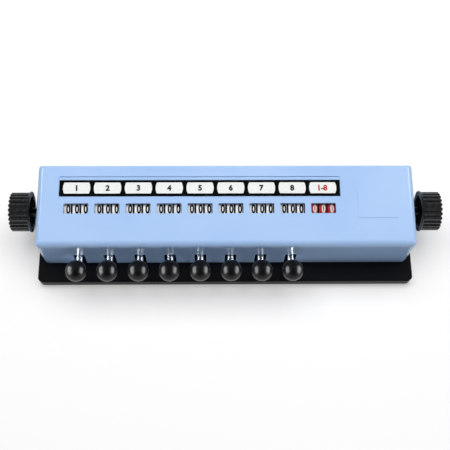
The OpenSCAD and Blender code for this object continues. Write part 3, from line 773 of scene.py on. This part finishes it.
def rowTree(shape, material):
    # copies of one label at even steps to the right
    tree, inputs = newTree("labelRow", {"Label": shape, "Count": 9, "Pitch": 0.025})
    one = addNode(tree, "GeometryNodeObjectInfo", {"Object": inputs["Label"]})
    step = addNode(tree, "ShaderNodeCombineXYZ", {"X": inputs["Pitch"]})
    row = addNode(tree, "GeometryNodeMeshLine",
                  {"Count": inputs["Count"], "Offset": step.outputs[0]}, mode="OFFSET")
    spread = addNode(tree, "GeometryNodeInstanceOnPoints",
                     {"Points": row.outputs[0], "Instance": one.outputs["Geometry"]})
    endTree(tree, spread.outputs[0], material)
    return tree


def makeLabels(size):
    low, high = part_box("label_strip")
    tilt = math.radians(size["tilt"])
    width = high.x - low.x
    stripTop = size["stripThickness"]
    names = [str(n) for n in range(1, 9)] + ["1-8"]
    middleName = (len(names) - 1) / 2
    # the middle of the strip's underside, from its node's box
    middleX = (low.x + high.x) / 2
    middleY = (low.y + high.y) / 2 + stripTop / 2 * mm * math.sin(tilt)
    middleZ = low.z + size["stripDepth"] / 2 * mm * math.sin(tilt)
    onTop = Matrix.Translation((middleX, middleY, middleZ)) @ Matrix.Rotation(tilt, 4, "X")
    halfWidth, halfDepth = width / 2 / mm, size["stripDepth"] / 2
    strip = slab([(halfWidth, -halfDepth), (halfWidth, halfDepth), (-halfWidth, halfDepth),
                  (-halfWidth, -halfDepth)], stripTop, size["stripBevel"])
    strip.transform(onTop)
    newPiece("labelStrip", strip, stripPlastic, "root", "label_black", "label_strip")
    one = pattern(slab(barrelOutline(size), size["thickness"], size["bevel"]))
    row = grow(rowTree(one, labelCard), {"Label": one, "Count": len(names),
                                         "Pitch": size["pitch"] * mm})
    dropPatterns(one)
    row.transform(onTop @ Matrix.Translation((-middleName * size["pitch"] * mm, 0,
                                              stripTop * mm)))
    newPiece("labels", row, None, "root", "label_black")
    meshes = [flatText(name, size["numeralHeight"], size["squeeze"], size["weight"],
                       size["ink"]) for name in names]
    top = (stripTop + size["thickness"]) * mm
    moves = [onTop @ Matrix.Translation(((n - middleName) * size["pitch"] * mm, 0, top))
             for n in range(len(names))]
    newPiece("labelNumerals", joined(meshes[:-1], moves[:-1]), blackInk, "root",
             "label_black")
    newPiece("totalLabelNumerals", joined(meshes[-1:], moves[-1:]), redInk, "root",
             "label_black")


makeLabels(labels)
print("labels made")


# return springs on the lever rod
springs = {    # mm
    "count": 8, "pitch": 25.0, "coils": 4.2, "width": 2.1, "radius": 2.75, "wire": 0.45,
}


def springTree(material):
    # a coil of round wire, laid on its side and repeated at every lever
    tree, inputs = newTree("returnSpring", {
        "Count": 8, "Pitch": 0.025, "Coils": 4.0, "Width": 0.002, "Radius": 0.0027,
        "Wire": 0.0005, "Start": (0.0, 0.0, 0.0)})
    coil = addNode(tree, "GeometryNodeCurveSpiral",
                   {"Resolution": 20, "Rotations": inputs["Coils"],
                    "Start Radius": inputs["Radius"], "End Radius": inputs["Radius"],
                    "Height": inputs["Width"]})
    wireRadius = addNode(tree, "ShaderNodeMath", {0: inputs["Wire"], 1: 0.5},
                         operation="MULTIPLY")
    section = addNode(tree, "GeometryNodeCurvePrimitiveCircle",
                      {"Resolution": 8, "Radius": wireRadius.outputs[0]})
    wire = addNode(tree, "GeometryNodeCurveToMesh",
                   {"Curve": coil.outputs[0], "Profile Curve": section.outputs[0],
                    "Fill Caps": True})
    laid = addNode(tree, "GeometryNodeTransform",
                   {"Geometry": wire.outputs[0], "Rotation": (0, math.pi / 2, 0)})
    step = addNode(tree, "ShaderNodeCombineXYZ", {"X": inputs["Pitch"]})
    row = addNode(tree, "GeometryNodeMeshLine",
                  {"Count": inputs["Count"], "Start Location": inputs["Start"],
                   "Offset": step.outputs[0]}, mode="OFFSET")
    spread = addNode(tree, "GeometryNodeInstanceOnPoints",
                     {"Points": row.outputs[0], "Instance": laid.outputs[0]})
    endTree(tree, spread.outputs[0], material)
    return tree


def makeSprings(size):
    low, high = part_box("return_springs")
    start = (low.x + size["wire"] / 2 * mm, (low.y + high.y) / 2, (low.z + high.z) / 2)
    mesh = grow(springTree(rodSteel), {
        "Count": size["count"], "Pitch": size["pitch"] * mm, "Coils": size["coils"],
        "Width": (size["width"] - size["wire"]) * mm, "Radius": size["radius"] * mm,
        "Wire": size["wire"] * mm, "Start": start})
    newPiece("woundReturnSprings", smoothed(mesh, 60), None, "root", "rod_steel",
             "return_springs")


makeSprings(springs)
print("return springs made")
